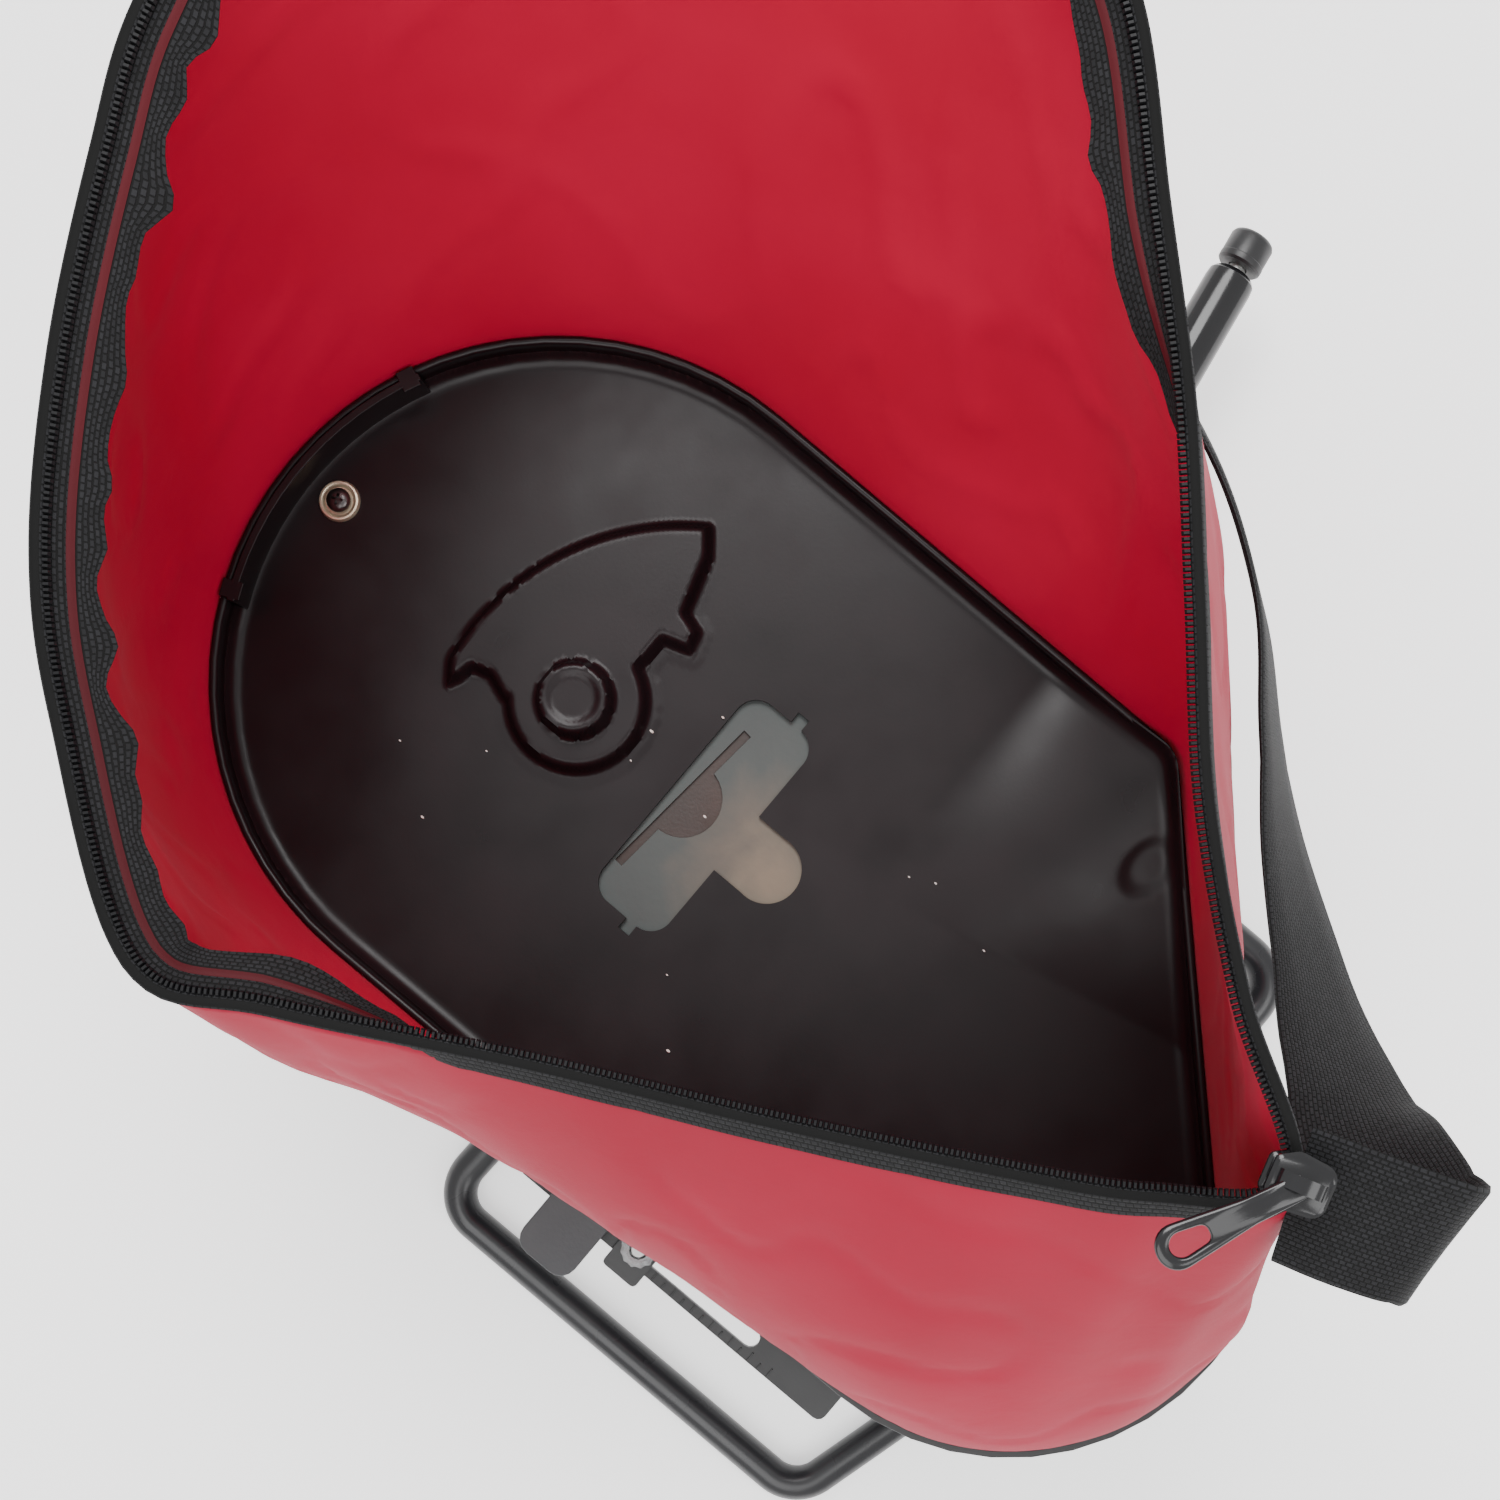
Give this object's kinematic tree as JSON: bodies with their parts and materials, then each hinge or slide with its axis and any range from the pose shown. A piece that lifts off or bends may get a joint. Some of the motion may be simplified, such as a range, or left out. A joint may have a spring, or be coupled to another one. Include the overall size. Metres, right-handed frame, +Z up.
{
  "type": "hand-cranked broadcast spreader",
  "caption": "Hand-cranked broadcast seed spreader with a zip-top fabric bag over a hopper pan, a rate lever, a spinning disc and a carrying strap.",
  "frame": {"origin": "bottom centre of the whole part's box, on the floor", "axes": "+Z up, +Y towards the rounded front of the pan, +X towards the crank on the operator's right"},
  "size_m": [0.4644, 0.4636, 0.3305],
  "materials": {
    "black_plastic": "satin moulded",
    "black_tube": "gloss powder coat",
    "grey_plastic": "fine texture",
    "zinc_steel": "zinc plated",
    "clear_plastic": "clear moulded",
    "red_fabric": "coated weave",
    "black_webbing": "woven",
    "pale_guard": "smooth",
    "brass": "turned",
    "nylon_gear": "natural"
  },
  "bodies": {
    "spreader": {"hopper_pan": "black_plastic", "front_clip_band": "black_plastic", "slide_guide_left": "black_plastic", "slide_guide_right": "black_plastic", "front_post": "black_plastic", "left_post": "black_plastic", "right_post": "black_plastic", "rate_gauge": "black_plastic", "gearbox_lower": "black_plastic", "gearbox_upper": "black_plastic", "hem_band": "black_plastic", "zip_slider": "black_plastic", "zip_end_stop": "black_plastic", "base_frame": "black_tube", "port_plate": "zinc_steel", "front_screw": "zinc_steel", "bracket_screw_left": "zinc_steel", "bracket_screw_right": "zinc_steel", "gauge_screw_front": "zinc_steel", "gauge_screw_rear": "zinc_steel", "gearbox_screw_inner_rear": "zinc_steel", "gearbox_screw_inner_front": "zinc_steel", "gearbox_screw_outer_rear": "zinc_steel", "gearbox_screw_outer_front": "zinc_steel", "gearbox_mount_screw_inner": "zinc_steel", "gearbox_mount_screw_outer": "zinc_steel", "gearbox_bracket": "zinc_steel", "bag_shell": "red_fabric", "zip_tape_right": "black_webbing", "zip_tape_left": "black_webbing", "shoulder_strap": "black_webbing", "rear_guard": "pale_guard", "cup_washer": "brass", "pan_bush": "brass", "crank_bush_inner": "brass", "crank_bush_outer": "brass", "impeller_bush": "brass"},
    "impeller": {"impeller": "black_plastic", "impeller_shaft": "zinc_steel", "impeller_pinion": "nylon_gear", "impeller_clip": "zinc_steel"},
    "crank": {"crank_shaft": "zinc_steel", "crank_gear": "nylon_gear", "crank_arm": "black_plastic", "knob_pin": "zinc_steel", "knob_cap": "black_plastic", "crank_end_cap": "zinc_steel"},
    "knob": {"knob_grip": "black_plastic"},
    "shutoff": {"shutoff_slide": "grey_plastic"},
    "stop": {"stop_block": "black_plastic", "stop_bolt": "zinc_steel"},
    "nut": {"thumb_nut": "clear_plastic"},
    "puller": {"zip_puller": "black_plastic"}
  },
  "joints": [
    {"name": "crank_turn", "type": "hinge", "parent": "spreader", "child": "crank", "pos_m": [-0.05187, 0.06659, 0.042], "axis": [0.9848, 0.1736, 0], "continuous": true},
    {"name": "impeller_spin", "type": "hinge", "parent": "spreader", "child": "impeller", "pos_m": [-0.05187, 0.06659, 0.0745], "axis": [0, 0, 1], "continuous": true},
    {"name": "knob_spin", "type": "hinge", "parent": "crank", "child": "knob", "pos_m": [0.17491, -0.0102, 0.042], "axis": [0.9848, 0.1736, 0], "continuous": true},
    {"name": "shutoff_pull", "type": "slide", "parent": "spreader", "child": "shutoff", "axis": [0, -1, 0], "range_m": [0, 0.0225]},
    {"name": "stop_slide", "type": "slide", "parent": "spreader", "child": "stop", "axis": [0, -1, 0], "range_m": [0, 0.04]},
    {"name": "nut_turn", "type": "hinge", "parent": "stop", "child": "nut", "pos_m": [-0.17787, -0.06441, 0.095], "axis": [0, 0, 1], "continuous": true},
    {"name": "puller_flip", "type": "hinge", "parent": "spreader", "child": "puller", "pos_m": [-0.02951, -0.17434, 0.2936], "axis": [0.4067, 0.9135, 0], "range_deg": [0, 110]}
  ],
  "couplings": [
    {"joint": "impeller_spin", "follows": "crank_turn", "ratio": -2.8}
  ]
}
